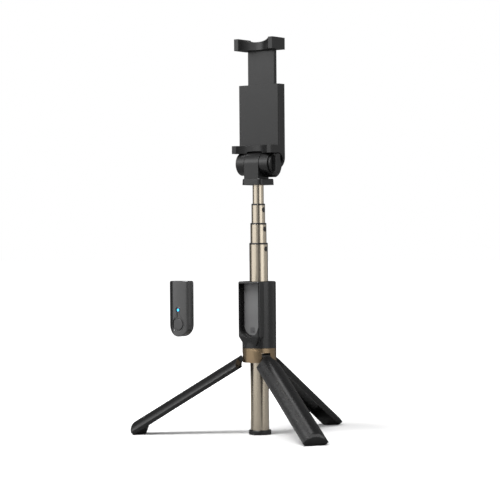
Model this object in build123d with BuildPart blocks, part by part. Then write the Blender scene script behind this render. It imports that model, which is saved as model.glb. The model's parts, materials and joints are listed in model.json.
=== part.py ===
from build123d import *
import os
from math import cos, radians, sin

# Tripod selfie stick with a phone clamp and a Bluetooth remote that lives in a dock in the grip.
# Millimetres. Z is up along the pole, the origin is the middle of the pole's end cap on the
# ground, and the clamp, the dock and the remote face -Y.

os.makedirs("parts", exist_ok=True)

# ---------------------------------------------------------------- driving dimensions
FIT = 0.05                      # radial clearance of a running fit
GAP = 0.3                       # clearance between parts that pass each other

# telescoping pole, outermost section first
TUBE_R = [7.5, 6.5, 5.5, 4.5]
TUBE_TOP = [154.9, 171.0, 186.6, 201.6]
TUBE_BOTTOM = [1.2, 23.0, 36.0, 50.0]
TUBE_WALL = 0.6
TUBE_NAMES = ["outer", "second", "third", "inner"]
RIM_H = 1.4                     # plastic rim on top of a section
SLEEVE_H = 8.0                  # bush sleeve below the rim
STUD_R = 2.1
STUD_DROP = 5.0                 # stud centre below the section's top
SLIDE_BUSH_H = 10.0
DIMPLE_DROPS = [4.2, 7.3, 10.0]  # index dimples down the side of the inner section
DIMPLE_R = 0.6
DIMPLE_OUT = 0.35               # their centres stand this far outside the wall
CAP_R = 9.1
CAP_H = 3.7
CAP_SLEEVE_T = 1.6
CAP_SLEEVE_H = 7.5
POST_R = 2.95
POST_PLUG = 11.0                # length of the swivel post inside the inner section
POST_TOP = 208.4
GROOVE_Z = 204.2
GROOVE_HALF = 0.8
GROOVE_DEPTH = 0.9

# grip and leg collar
GRIP_R = 13.75
GRIP_BOTTOM = 69.9
GRIP_TOP = 123.9
COLLAR_BOTTOM = 58.4
GRIP_BORE_R = 7.85
NOSE_FRONT = 14.75              # how far the dock's nose stands in front of the pole axis
NOSE_HALF = 10.9
NOSE_CORNER = 2.4
NOSE_TIP_HALF = 6.0             # half width of the nose where its taper ends
NOSE_TIP_FRONT = 13.0
NOSE_BOTTOM = 79.5
NOSE_TAPER_H = 8.5

# dock and remote
DOCK_HALF = 9.6
DOCK_TOP = 122.3
DOCK_CENTRE_Z = 88.4            # centre of the round bottom end
DOCK_FLOOR = 8.5
DOCK_RAIL = 9.2                 # the floor's raised border reaches this far forward
RAIL_W = 1.5
TRAY_T = 0.5
REMOTE_HALF = 9.3
REMOTE_TOP = 121.8
REMOTE_BACK = 9.6               # back face in the dock
REMOTE_T = 8.5
REMOTE_SPLIT = 13.2
REMOTE_OUT = 88.0               # how far the remote stands in front of its docked place
REMOTE_LIFT = 4.4               # and how far above it
REMOTE_WALL = 1.2
BUTTON_R = 4.3
BUTTON_Z = DOCK_CENTRE_Z
LED_R = 0.9
LED_Z = 99.5

# legs, drawn hanging straight down and then swung out
LEG_AZIMUTHS = [90.0, 210.0, 330.0]
PIVOT_R = 10.5
PIVOT_Z = 63.0
SPLAY = 58.3
PIN_R = 1.0
PIN_HALF = 5.4
TONGUE_HALF = 3.5
SLOT_HALF = 3.8
SLOT_TOP = 66.2
EYE_R = 2.5
LEG_CREST = 13.75
LEG_SKIN = 1.8
LEG_START = 3.4                 # the leg's section starts this far below its pivot
SHOULDER = 5.7                  # its shoulders start to widen here
SHOULDER_END = 11.5             # and reach past the full width here
HOLLOW_START = 9.0
LEG_CLEAR_R = 9.45              # the legs' inside clears the end cap by this radius
FOOT_START = 99.6

# head and clamp
HEAD_HALF = 10.2
HEAD_CORNER = 4.0
HEAD_BOTTOM = 201.7
HEAD_PLATE_TOP = 206.7
HINGE_Z = 218.8
TONGUE_R = 9.5
TONGUE_BACK = 5.0               # the tongue's neck ends here behind the pole axis
TONGUE_RELIEF_R = 10.8          # the clamp is cut away round the tongue to this radius
HEAD_TONGUE_HALF = 7.05
EAR_IN = 7.4
EAR_OUT = 15.6
EAR_R = 9.3
BOLT_R = 2.0
KNOB_R = 8.2
KNOB_START = 15.9
KNOB_END = 20.5
KNOB_POCKET_R = 8.6
BOLT_START = -12.8
BOLT_IN_KNOB = 2.0
NUT_POCKET_DEPTH = 3.0
NUT_POCKET_R = 3.6
NUT_R = 3.5
NUT_T = 2.8
CLAMP_HALF = 20.0
CLAMP_FRONT = 1.5
CLAMP_SPLIT = 6.5
CLAMP_BACK = 11.4
CLAMP_TOP = 283.0
BRACKET_FRONT = 3.0
LOWER_JAW_BOTTOM = 227.2
LOWER_JAW_TOP = 233.5
LOWER_JAW_FRONT = -9.0
CAVITY_HALF = 18.4
CAVITY_FRONT = 3.2
CAVITY_BACK = 9.8
CAVITY_BOTTOM = 233.0
CAVITY_TOP = 278.0
UPPER_JAW_HALF = 19.5
UPPER_JAW_BOTTOM = 311.0
UPPER_JAW_TOP = 320.4
UPPER_JAW_FRONT = -5.5
UPPER_JAW_BACK = 12.0
PRONG = 4.6
SLIDER_HALF = 13.0
SLIDER_FRONT = 4.2
SLIDER_BACK = 8.8
SLIDER_BOTTOM = 254.0
SLIDER_FOOT_H = 4.0
ROD_X = 16.0
ROD_Y = 6.5
ROD_R = 0.9
SPRING_R = 1.75
SPRING_WIRE_R = 0.35
PAD_T = 0.9


def save(builder, name):
    """Name a finished piece and write it as its own STEP file."""
    builder.part.label = name
    export_step(builder.part, f"parts/{name}.step")


# ---------------------------------------------------------------- pole
def tube(i):
    """One aluminium section, with holes for its bush studs."""
    top = TUBE_TOP[i] - (RIM_H if i < 3 else 0)
    with BuildPart() as piece:
        with BuildSketch(Plane.XY.offset(TUBE_BOTTOM[i])):
            Circle(TUBE_R[i])
            Circle(TUBE_R[i] - TUBE_WALL, mode=Mode.SUBTRACT)
        extrude(amount=top - TUBE_BOTTOM[i])
        if i < 3:
            with BuildSketch(Plane.YZ):
                with Locations((0, TUBE_TOP[i] - STUD_DROP)):
                    Circle(STUD_R)
            extrude(amount=TUBE_R[i] + 1, both=True, mode=Mode.SUBTRACT)
        else:
            for drop in DIMPLE_DROPS:
                with Locations((TUBE_R[i] + DIMPLE_OUT, 0, TUBE_TOP[i] - drop)):
                    Sphere(DIMPLE_R, mode=Mode.SUBTRACT)
    save(piece, f"{TUBE_NAMES[i]}_tube")


def tube_bush(i):
    """Plastic rim, inner sleeve and two round studs that guide the next section."""
    bore = TUBE_R[i + 1] + FIT
    top = TUBE_TOP[i]
    with BuildPart() as piece:
        with BuildSketch(Plane.YZ):
            with Locations((0, top - STUD_DROP)):
                Circle(STUD_R)
        extrude(amount=TUBE_R[i] + 1, both=True)
        with BuildSketch(Plane.XY.offset(top - RIM_H - SLEEVE_H)):
            Circle(TUBE_R[i])
        extrude(amount=RIM_H + SLEEVE_H, mode=Mode.INTERSECT)
        with BuildSketch(Plane.XY.offset(top - RIM_H - SLEEVE_H)):
            Circle(TUBE_R[i] - TUBE_WALL)
        extrude(amount=RIM_H + SLEEVE_H)
        with BuildSketch(Plane.XY.offset(top - RIM_H)):
            Circle(TUBE_R[i])
        extrude(amount=RIM_H)
        fillet(piece.faces().sort_by(Axis.Z)[-1].edges(), 0.4)
        with BuildSketch(Plane.XY.offset(top - RIM_H - SLEEVE_H)):
            Circle(bore)
        extrude(amount=RIM_H + SLEEVE_H, mode=Mode.SUBTRACT)
    save(piece, f"{TUBE_NAMES[i]}_tube_bush")


def slide_bush(i):
    """Bush pressed on a section's lower end, running in the section outside it."""
    with BuildPart() as piece:
        with BuildSketch(Plane.XY.offset(TUBE_BOTTOM[i])):
            Circle(TUBE_R[i - 1] - TUBE_WALL - FIT)
            Circle(TUBE_R[i], mode=Mode.SUBTRACT)
        extrude(amount=SLIDE_BUSH_H)
    save(piece, f"{TUBE_NAMES[i]}_slide_bush")


for section in range(4):
    tube(section)
for section in range(3):
    tube_bush(section)
    slide_bush(section + 1)

with BuildPart() as pole_end_cap:
    with BuildSketch():
        Circle(CAP_R)
    extrude(amount=CAP_H)
    fillet(pole_end_cap.faces().sort_by(Axis.Z)[-1].edges(), 0.8)
    fillet(pole_end_cap.faces().sort_by(Axis.Z)[0].edges(), 0.6)
    with BuildSketch(Plane.XY.offset(TUBE_BOTTOM[0])):
        Circle(TUBE_R[0])
    extrude(amount=CAP_H, mode=Mode.SUBTRACT)
    with BuildSketch(Plane.XY.offset(TUBE_BOTTOM[0])):
        Circle(TUBE_R[0] - TUBE_WALL)
        Circle(TUBE_R[0] - TUBE_WALL - CAP_SLEEVE_T, mode=Mode.SUBTRACT)
    extrude(amount=CAP_SLEEVE_H)
save(pole_end_cap, "pole_end_cap")

# The swivel post plugs the inner tube and carries the head on a short spigot.
with BuildPart() as swivel_post:
    with BuildSketch(Plane.XY.offset(TUBE_TOP[3] - POST_PLUG)):
        Circle(TUBE_R[3] - TUBE_WALL)
    extrude(amount=POST_PLUG)
    with BuildSketch(Plane.XY.offset(TUBE_TOP[3])):
        Circle(POST_R)
    extrude(amount=POST_TOP - TUBE_TOP[3])
    with BuildSketch(Plane.XY.offset(GROOVE_Z - GROOVE_HALF)):
        Circle(POST_R + 1)
        Circle(POST_R - GROOVE_DEPTH, mode=Mode.SUBTRACT)
    extrude(amount=2 * GROOVE_HALF, mode=Mode.SUBTRACT)
save(swivel_post, "swivel_post")


# ---------------------------------------------------------------- grip
def dock_outline(half, top):
    """U-shaped outline with a round bottom end, drawn across X and up Z."""
    with BuildSketch(Plane.XZ) as outline:
        with Locations((0, DOCK_CENTRE_Z)):
            Circle(half)
            Rectangle(2 * half, top - DOCK_CENTRE_Z, align=(Align.CENTER, Align.MIN))
    return outline.sketch


def nose_section(height, front, half):
    """Outline of the dock's nose, from inside the barrel to its rounded front."""
    with BuildSketch(Plane.XY.offset(height)) as section:
        with Locations((0, -front)):
            RectangleRounded(2 * half, front, NOSE_CORNER, align=(Align.CENTER, Align.MIN))
    return section.sketch


FIRST_SCREW_AZIMUTH = 30.0
GRIP_SCREW_CIRCLE_R = 11.1
GRIP_SCREW_R = 0.9
GRIP_SCREW_HEAD_R = 1.6
GRIP_SCREW_HEAD_T = 1.2
GRIP_SCREW_SINK = 2.0           # depth of the heads' counterbores
SOCKET_R = 0.8                  # hexagon sockets of all the screws
GUIDE_R = 8.2
GUIDE_H = 6.0
RING_R = 9.0
RING_H = 4.0


def screw_circles(height, radius):
    """One circle at each of the three screws that hold the hub in the grip."""
    with BuildSketch(Plane.XY.offset(height)) as circles:
        with PolarLocations(GRIP_SCREW_CIRCLE_R, 3, start_angle=FIRST_SCREW_AZIMUTH):
            Circle(radius)
    return circles.sketch


def pin_plane(azimuth):
    """Plane through a leg's pivot, square to its pin."""
    direction = Vector(1, 0, 0).rotate(Axis.Z, azimuth)
    across = direction.cross(Vector(0, 0, 1))
    return Plane(origin=direction * PIVOT_R + Vector(0, 0, PIVOT_Z), x_dir=direction, z_dir=across)


with BuildPart() as grip_housing:
    with BuildSketch(Plane.XY.offset(GRIP_BOTTOM)):
        Circle(GRIP_R)
    extrude(amount=GRIP_TOP - GRIP_BOTTOM)
    extrude(nose_section(NOSE_BOTTOM, NOSE_FRONT, NOSE_HALF), amount=GRIP_TOP - NOSE_BOTTOM)
    loft(
        [
            nose_section(NOSE_BOTTOM, NOSE_FRONT, NOSE_HALF),
            nose_section(NOSE_BOTTOM - NOSE_TAPER_H, NOSE_TIP_FRONT, NOSE_TIP_HALF),
        ],
        ruled=True,
    )
    fillet(grip_housing.faces().sort_by(Axis.Z)[-1].edges(), 1.2)
    with BuildSketch(Plane.XY.offset(GRIP_BOTTOM)):
        Circle(RING_R)
    extrude(amount=RING_H, mode=Mode.SUBTRACT)
    extrude(dock_outline(DOCK_HALF, DOCK_TOP), amount=20, mode=Mode.SUBTRACT)
    extrude(dock_outline(DOCK_HALF + 1, DOCK_TOP + 1), amount=DOCK_RAIL)
    extrude(dock_outline(DOCK_HALF - RAIL_W, DOCK_TOP), amount=20, mode=Mode.SUBTRACT)
    extrude(dock_outline(DOCK_HALF, DOCK_TOP), amount=DOCK_FLOOR)
    with BuildSketch(Plane.XY.offset(GRIP_BOTTOM)):
        Circle(GRIP_BORE_R)
    extrude(amount=GRIP_TOP - GRIP_BOTTOM, mode=Mode.SUBTRACT)
    with BuildSketch(Plane.XY.offset(GRIP_TOP - GUIDE_H)):
        Circle(GUIDE_R)
    extrude(amount=GUIDE_H, mode=Mode.SUBTRACT)
    extrude(screw_circles(GRIP_BOTTOM, GRIP_SCREW_R), amount=6, mode=Mode.SUBTRACT)
save(grip_housing, "grip_housing")

CATCH_HALF = 2.25
CATCH_Z = 84.5
CATCH_HOLE_R = 0.45
with BuildPart() as dock_tray:
    extrude(dock_outline(DOCK_HALF - RAIL_W - FIT, DOCK_TOP - FIT), amount=DOCK_FLOOR + TRAY_T)
    with BuildSketch(Plane.XZ):
        with Locations((0, 100)):
            Rectangle(40, 60)
    extrude(amount=DOCK_FLOOR, mode=Mode.SUBTRACT)
    with BuildSketch(Plane.XZ):
        with Locations((0, CATCH_Z)):
            Rectangle(2 * CATCH_HALF, 2 * CATCH_HALF)
    extrude(amount=20, mode=Mode.SUBTRACT)
save(dock_tray, "dock_tray")

with BuildPart() as dock_catch:
    with BuildSketch(Plane.XZ.offset(DOCK_FLOOR)):
        with Locations((0, CATCH_Z)):
            Rectangle(2 * CATCH_HALF, 2 * CATCH_HALF)
            with Locations((0.7, -0.8)):
                Circle(CATCH_HOLE_R, mode=Mode.SUBTRACT)
    extrude(amount=TRAY_T + 0.1)
save(dock_catch, "dock_catch")

with BuildPart() as grip_guide_bush:
    with BuildSketch(Plane.XY.offset(GRIP_TOP - GUIDE_H)):
        Circle(GUIDE_R)
        Circle(TUBE_R[0] + FIT, mode=Mode.SUBTRACT)
    extrude(amount=GUIDE_H - 0.2)
save(grip_guide_bush, "grip_guide_bush")

with BuildPart() as grip_friction_ring:
    with BuildSketch(Plane.XY.offset(GRIP_BOTTOM)):
        Circle(RING_R)
        Circle(TUBE_R[0] + FIT, mode=Mode.SUBTRACT)
    extrude(amount=RING_H)
save(grip_friction_ring, "grip_friction_ring")


def radial_slots(width_half, top):
    """Three straight slots from the middle outwards, one for each leg."""
    for azimuth in LEG_AZIMUTHS:
        with BuildSketch(Plane.XY.offset(COLLAR_BOTTOM - 1)) as slot:
            with Locations(Location((0, 0, 0), (0, 0, azimuth))):
                Rectangle(20, 2 * width_half, align=(Align.MIN, Align.CENTER))
        extrude(slot.sketch, amount=top - COLLAR_BOTTOM + 1, mode=Mode.SUBTRACT)


COLLAR_WALL = 1.0
with BuildPart() as leg_collar:
    with BuildSketch(Plane.XY.offset(COLLAR_BOTTOM)):
        Circle(GRIP_R)
        Circle(GRIP_R - COLLAR_WALL, mode=Mode.SUBTRACT)
    extrude(amount=GRIP_BOTTOM - COLLAR_BOTTOM)
    radial_slots(SLOT_HALF, SLOT_TOP)
save(leg_collar, "leg_collar")

HUB_BORE_R = 7.8
HUB_BOTTOM = 58.8
with BuildPart() as leg_hub:
    with BuildSketch(Plane.XY.offset(HUB_BOTTOM)):
        Circle(GRIP_R - COLLAR_WALL)
        Circle(HUB_BORE_R, mode=Mode.SUBTRACT)
    extrude(amount=GRIP_BOTTOM - HUB_BOTTOM)
    radial_slots(SLOT_HALF, SLOT_TOP + 0.6)
    for azimuth in LEG_AZIMUTHS:
        with BuildSketch(pin_plane(azimuth)):
            Circle(PIN_R)
        extrude(amount=PIN_HALF, both=True, mode=Mode.SUBTRACT)
    extrude(screw_circles(COLLAR_BOTTOM, GRIP_SCREW_R), amount=20, mode=Mode.SUBTRACT)
    extrude(
        screw_circles(COLLAR_BOTTOM, GRIP_SCREW_HEAD_R), amount=GRIP_SCREW_SINK, mode=Mode.SUBTRACT
    )
save(leg_hub, "leg_hub")

HEADS_TOP = COLLAR_BOTTOM + GRIP_SCREW_SINK
with BuildPart() as grip_screws:
    extrude(screw_circles(HEADS_TOP, GRIP_SCREW_R), amount=GRIP_BOTTOM + 5.5 - HEADS_TOP)
    with BuildSketch(Plane.XY.offset(HEADS_TOP - GRIP_SCREW_HEAD_T)):
        with PolarLocations(GRIP_SCREW_CIRCLE_R, 3, start_angle=FIRST_SCREW_AZIMUTH):
            Circle(GRIP_SCREW_HEAD_R)
            RegularPolygon(SOCKET_R, 6, mode=Mode.SUBTRACT)
    extrude(amount=GRIP_SCREW_HEAD_T)
save(grip_screws, "grip_screws")

with BuildPart() as leg_pins:
    for azimuth in LEG_AZIMUTHS:
        with BuildSketch(pin_plane(azimuth)):
            Circle(PIN_R)
        extrude(amount=PIN_HALF, both=True)
save(leg_pins, "leg_pins")


# ---------------------------------------------------------------- legs
class LegFrame:
    """Planes of one leg: across it, along it and square to it, from its pivot."""

    def __init__(self, azimuth):
        outward = Vector(1, 0, 0).rotate(Axis.Z, azimuth)
        up = Vector(0, 0, 1)
        pivot = outward * PIVOT_R + up * PIVOT_Z
        tilt = radians(SPLAY)
        across = up.cross(outward)
        along = outward * sin(tilt) - up * cos(tilt)
        crest = outward * cos(tilt) + up * sin(tilt)
        # section: x across, y towards the crest, z down the leg
        self.section = Plane(origin=pivot, x_dir=across, z_dir=along)
        # side: x towards the crest, y down the leg
        self.side = Plane(origin=pivot, x_dir=crest, z_dir=across)
        # front: x across, y down the leg
        self.front = Plane(origin=pivot, x_dir=across, z_dir=-crest)


def ground_reach(depth):
    """How far down the leg the ground lies, at a depth measured towards the crest."""
    return (PIVOT_Z + depth * sin(radians(SPLAY))) / cos(radians(SPLAY))


# Corners of the leg's cross-section, as (across, out from the pole's axis).
EDGE = (11.0, 7.9)
LIP = (8.6, 5.15)
INNER_EDGE = (9.5, 8.5)
INNER_LIP = (7.4, 6.1)
LEG_END = 111.3
FOOT_TIP = 0.4                  # nearest the foot comes to the pole's axis when folded
FOOT_OUT = 5.2


def leg_arc(half, edge, crest):
    ThreePointArc((-half, edge - PIVOT_R), (0, crest - PIVOT_R), (half, edge - PIVOT_R))


def side_outline(plane, inner):
    """Side view of the leg's length, cut flat for the ground and rounded at the end."""
    tip = FOOT_TIP - PIVOT_R
    out = FOOT_OUT - PIVOT_R
    with BuildSketch(plane) as outline:
        with BuildLine():
            crest = LEG_CREST - PIVOT_R + 1
            start = Polyline((crest, 0), (inner, 0), (inner, FOOT_START))
            ground = Polyline(
                start @ 1,
                (FOOT_TIP + 4.4 - PIVOT_R, FOOT_START),
                (tip, ground_reach(tip)),
                (out, ground_reach(out)),
            )
            toe = ThreePointArc(ground @ 1, (1.7, 109.2), (3.25, 103.0))
            Polyline(toe @ 1, (crest, 102.0), (crest, 0))
        make_face()
    return outline.sketch


def leg_shell(number, azimuth):
    """Thin-walled leg, open towards the pole, with a shouldered tongue and an eye on top."""
    frame = LegFrame(azimuth)
    with BuildPart() as piece:
        with BuildSketch(frame.section.offset(LEG_START)):
            with BuildLine():
                leg_arc(EDGE[0], EDGE[1], LEG_CREST)
                Polyline(
                    (EDGE[0], EDGE[1] - PIVOT_R),
                    (LIP[0], LIP[1] - PIVOT_R),
                    (-LIP[0], LIP[1] - PIVOT_R),
                    (-EDGE[0], EDGE[1] - PIVOT_R),
                )
            make_face()
        extrude(amount=LEG_END + 2 - LEG_START)
        wide = EDGE[0] + 1
        with BuildSketch(frame.front):
            Polygon(
                (-TONGUE_HALF, 0),
                (TONGUE_HALF, 0),
                (TONGUE_HALF, SHOULDER),
                (wide, SHOULDER_END),
                (wide, LEG_END + 9),
                (-wide, LEG_END + 9),
                (-wide, SHOULDER_END),
                (-TONGUE_HALF, SHOULDER),
                align=None,
            )
        extrude(amount=20, both=True, mode=Mode.INTERSECT)
        extrude(side_outline(frame.side, LIP[1] - PIVOT_R - 1), amount=30, both=True, mode=Mode.INTERSECT)
        with BuildSketch(frame.section.offset(HOLLOW_START)):
            with BuildLine():
                leg_arc(INNER_EDGE[0], INNER_EDGE[1], LEG_CREST - LEG_SKIN)
                Polyline(
                    (INNER_EDGE[0], INNER_EDGE[1] - PIVOT_R),
                    (INNER_LIP[0], INNER_LIP[1] - PIVOT_R),
                    (INNER_LIP[0], -PIVOT_R),
                    (-INNER_LIP[0], -PIVOT_R),
                    (-INNER_LIP[0], INNER_LIP[1] - PIVOT_R),
                    (-INNER_EDGE[0], INNER_EDGE[1] - PIVOT_R),
                )
            make_face()
        extrude(amount=LEG_END, mode=Mode.SUBTRACT)
        with BuildSketch(frame.section):
            with Locations((0, -PIVOT_R)):
                Circle(LEG_CLEAR_R)
        extrude(amount=FOOT_START - 0.2, mode=Mode.SUBTRACT)
        with BuildSketch(frame.side):
            Circle(EYE_R)
            with BuildLine():
                Polyline((-1.0, 2.29), (1.5, 2.0), (1.9, 6.5), (-1.0, 6.5), (-1.0, 2.29))
            make_face()
        extrude(amount=TONGUE_HALF, both=True)
        with BuildSketch(frame.side):
            Circle(PIN_R + FIT)
        extrude(amount=10, both=True, mode=Mode.SUBTRACT)
    save(piece, f"leg_{number}_shell")


def leg_foot(number, azimuth):
    """Solid rubber foot filling the leg's lower end, wedge-shaped towards the pole."""
    frame = LegFrame(azimuth)
    with BuildPart() as piece:
        with BuildSketch(frame.section.offset(FOOT_START)):
            with BuildLine():
                leg_arc(INNER_EDGE[0], INNER_EDGE[1], LEG_CREST - LEG_SKIN)
                Polyline(
                    (INNER_EDGE[0], INNER_EDGE[1] - PIVOT_R),
                    (INNER_LIP[0], INNER_LIP[1] - PIVOT_R),
                    (INNER_LIP[0], LIP[1] - PIVOT_R),
                    (LIP[0], LIP[1] - PIVOT_R),
                    (0, FOOT_TIP - PIVOT_R),
                    (-LIP[0], LIP[1] - PIVOT_R),
                    (-INNER_LIP[0], LIP[1] - PIVOT_R),
                    (-INNER_LIP[0], INNER_LIP[1] - PIVOT_R),
                    (-INNER_EDGE[0], INNER_EDGE[1] - PIVOT_R),
                )
            make_face()
        extrude(amount=LEG_END - FOOT_START + 2)
        extrude(side_outline(frame.side, -PIVOT_R), amount=30, both=True, mode=Mode.INTERSECT)
    save(piece, f"leg_{number}_foot")


for number, azimuth in enumerate(LEG_AZIMUTHS, start=1):
    leg_shell(number, azimuth)
    leg_foot(number, azimuth)


# ---------------------------------------------------------------- head
HEAD_BORE_R = POST_R + FIT
SET_SCREW_R = 0.6
with BuildPart() as head_base:
    with BuildSketch(Plane.XY.offset(HEAD_BOTTOM)):
        RectangleRounded(2 * HEAD_HALF, 2 * HEAD_HALF, HEAD_CORNER)
    extrude(amount=HEAD_PLATE_TOP - HEAD_BOTTOM, taper=3)
    fillet(head_base.faces().sort_by(Axis.Z)[-1].edges(), 0.8)
    with BuildSketch(Plane.YZ):
        with Locations((0, HINGE_Z)):
            Circle(TONGUE_R)
        with Locations((-TONGUE_R, HINGE_Z)):
            Rectangle(
                TONGUE_R + TONGUE_BACK, HINGE_Z - HEAD_PLATE_TOP + 1, align=(Align.MIN, Align.MAX)
            )
    extrude(amount=HEAD_TONGUE_HALF, both=True)
    with BuildSketch(Plane.YZ):
        with Locations((0, HINGE_Z)):
            Circle(BOLT_R + FIT)
    extrude(amount=20, both=True, mode=Mode.SUBTRACT)
    with BuildSketch(Plane.XY.offset(HEAD_BOTTOM)):
        Circle(HEAD_BORE_R)
    extrude(amount=POST_TOP - HEAD_BOTTOM + GAP, mode=Mode.SUBTRACT)
    with BuildSketch(Plane.XZ.offset(-HEAD_HALF - 1)):
        with Locations((0, GROOVE_Z)):
            Circle(SET_SCREW_R)
    extrude(amount=HEAD_HALF, mode=Mode.SUBTRACT)
save(head_base, "head_base")

with BuildPart() as swivel_set_screw:
    with BuildSketch(Plane.XZ.offset(-HEAD_HALF + 0.6)):
        with Locations((0, GROOVE_Z)):
            Circle(SET_SCREW_R)
    extrude(amount=HEAD_HALF - 0.6 - POST_R + 0.5)
save(swivel_set_screw, "swivel_set_screw")

# ---------------------------------------------------------------- clamp
SLOT_IN_TOP_HALF = SLIDER_HALF + GAP
SCREW_SPOTS = [(-13.0, 230.2), (13.0, 230.2), (-16.7, 280.5), (16.7, 280.5)]
CLAMP_SCREW_R = 0.9
CLAMP_HEAD_R = 1.7
CLAMP_HEAD_DEPTH = 1.2
CLAMP_CORNER = 2.4
BRACKET_BOTTOM = 206.0
BRACKET_CURVE_END = 216.0       # the bracket's sides curve in from the jaw down to here
BRACKET_CURVE_MID = (18.9, 221.6)
LOWER_PAD = (30.0, 4.0)
LOWER_PAD_Y = -1.2
UPPER_PAD = (28.0, 3.4)
UPPER_PAD_Y = 3.0
PAD_CORNER = 1.2
SLIDER_T = 3.6
SLIDER_IN_JAW = 3.0
HOLLOW_SIZE = (44.0, 14.0)      # shallow relief in the slider's face
HOLLOW_Z = 285.0
HOLLOW_DEPTH = 0.8


def pad_outline(height, size, y):
    """Outline of a jaw's rubber pad."""
    with BuildSketch(Plane.XY.offset(height)) as outline:
        with Locations((0, y)):
            RectangleRounded(size[0], size[1], PAD_CORNER)
    return outline.sketch


def clamp_insides():
    """Cut the slider's cavity, its way out of the top and the screw holes."""
    height = CAVITY_TOP - CAVITY_BOTTOM
    with BuildSketch(Plane.XY.offset(CAVITY_BOTTOM)) as cavity:
        with Locations((0, CAVITY_FRONT)):
            Rectangle(2 * CAVITY_HALF, CAVITY_BACK - CAVITY_FRONT, align=(Align.CENTER, Align.MIN))
    extrude(cavity.sketch, amount=height, mode=Mode.SUBTRACT)
    with BuildSketch(Plane.XY.offset(CAVITY_TOP - 1)) as way_out:
        with Locations((0, SLIDER_FRONT - GAP)):
            Rectangle(
                2 * SLOT_IN_TOP_HALF, SLIDER_BACK - SLIDER_FRONT + 2 * GAP,
                align=(Align.CENTER, Align.MIN),
            )
    extrude(way_out.sketch, amount=10, mode=Mode.SUBTRACT)
    with BuildSketch(Plane.XZ.offset(-CLAMP_BACK)) as screws:
        with Locations(*SCREW_SPOTS):
            Circle(CLAMP_SCREW_R)
    extrude(screws.sketch, amount=CLAMP_BACK - CAVITY_FRONT, mode=Mode.SUBTRACT)


def about_hinge(radius, near, far, mode):
    """A cylinder about the hinge axis from one x to another."""
    with BuildSketch(Plane.YZ.offset(near)) as disc:
        with Locations((0, HINGE_Z)):
            Circle(radius)
    extrude(disc.sketch, amount=far - near, mode=mode)


with BuildPart() as clamp_bracket:
    # rear shell above, with the hinge bracket below it
    with BuildSketch(Plane.XZ.offset(-CLAMP_BACK)):
        with Locations((0, LOWER_JAW_BOTTOM)):
            Rectangle(
                2 * CLAMP_HALF, CLAMP_TOP - LOWER_JAW_BOTTOM, align=(Align.CENTER, Align.MIN)
            )
    extrude(amount=CLAMP_BACK - CLAMP_SPLIT)
    with BuildSketch(Plane.XZ.offset(-CLAMP_BACK)):
        with BuildLine():
            right = ThreePointArc(
                (CLAMP_HALF, LOWER_JAW_BOTTOM), BRACKET_CURVE_MID, (EAR_OUT, BRACKET_CURVE_END)
            )
            foot = Polyline(
                right @ 1,
                (EAR_OUT, BRACKET_BOTTOM),
                (-EAR_OUT, BRACKET_BOTTOM),
                (-EAR_OUT, BRACKET_CURVE_END),
            )
            left = ThreePointArc(
                foot @ 1,
                (-BRACKET_CURVE_MID[0], BRACKET_CURVE_MID[1]),
                (-CLAMP_HALF, LOWER_JAW_BOTTOM),
            )
            Line(left @ 1, right @ 0)
        make_face()
    extrude(amount=CLAMP_BACK - BRACKET_FRONT)
    with BuildSketch(Plane.YZ):
        with Locations((0, HINGE_Z)):
            Circle(CLAMP_BACK)
            Rectangle(2 * CLAMP_BACK, 80, align=(Align.CENTER, Align.MIN))
    extrude(amount=CLAMP_HALF + 1, both=True, mode=Mode.INTERSECT)
    with BuildSketch(Plane.XY.offset(HINGE_Z - 20)):
        with Locations((0, CLAMP_BACK)):
            RectangleRounded(2 * CLAMP_HALF, 60, CLAMP_CORNER, align=(Align.CENTER, Align.MAX))
    extrude(amount=100, mode=Mode.INTERSECT)
    for side in (-1, 1):
        with BuildSketch(Plane.YZ.offset(min(side * EAR_IN, side * EAR_OUT))):
            with Locations((0, HINGE_Z)):
                Circle(EAR_R)
                Rectangle(BRACKET_FRONT + 1, LOWER_JAW_BOTTOM - HINGE_Z, align=(Align.MIN, Align.MIN))
        extrude(amount=EAR_OUT - EAR_IN)
    about_hinge(TONGUE_RELIEF_R, -EAR_IN, EAR_IN, Mode.SUBTRACT)
    with BuildSketch(Plane.XY.offset(HINGE_Z + 4)):
        Rectangle(2 * EAR_IN, 2 * CLAMP_BACK + 2)
    extrude(amount=-20, mode=Mode.SUBTRACT)
    about_hinge(KNOB_POCKET_R, EAR_OUT, CLAMP_HALF + 1, Mode.SUBTRACT)
    about_hinge(KNOB_POCKET_R, -CLAMP_HALF - 1, -EAR_OUT, Mode.SUBTRACT)
    about_hinge(BOLT_R + FIT, BOLT_START - 0.4, EAR_OUT + 1, Mode.SUBTRACT)
    with BuildSketch(Plane.YZ.offset(-EAR_IN)):
        with Locations((0, HINGE_Z)):
            RegularPolygon(NUT_POCKET_R, 6)
    extrude(amount=-NUT_POCKET_DEPTH, mode=Mode.SUBTRACT)
    clamp_insides()
    with BuildSketch(Plane.XZ.offset(-CLAMP_BACK)):
        with Locations(*SCREW_SPOTS):
            Circle(CLAMP_HEAD_R)
    extrude(amount=CLAMP_HEAD_DEPTH, mode=Mode.SUBTRACT)
save(clamp_bracket, "clamp_bracket")


def jaw_plan(height, half, front, back, dip):
    """Plan of a jaw: a prong at each end and a hollow curve between them."""
    with BuildSketch(Plane.XY.offset(height)) as plan:
        with BuildLine():
            curve = ThreePointArc((PRONG - half, front), (0, front + dip), (half - PRONG, front))
            Polyline(curve @ 1, (half, front), (half, back), (-half, back), (-half, front), curve @ 0)
        make_face()
    return plan.sketch


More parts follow.
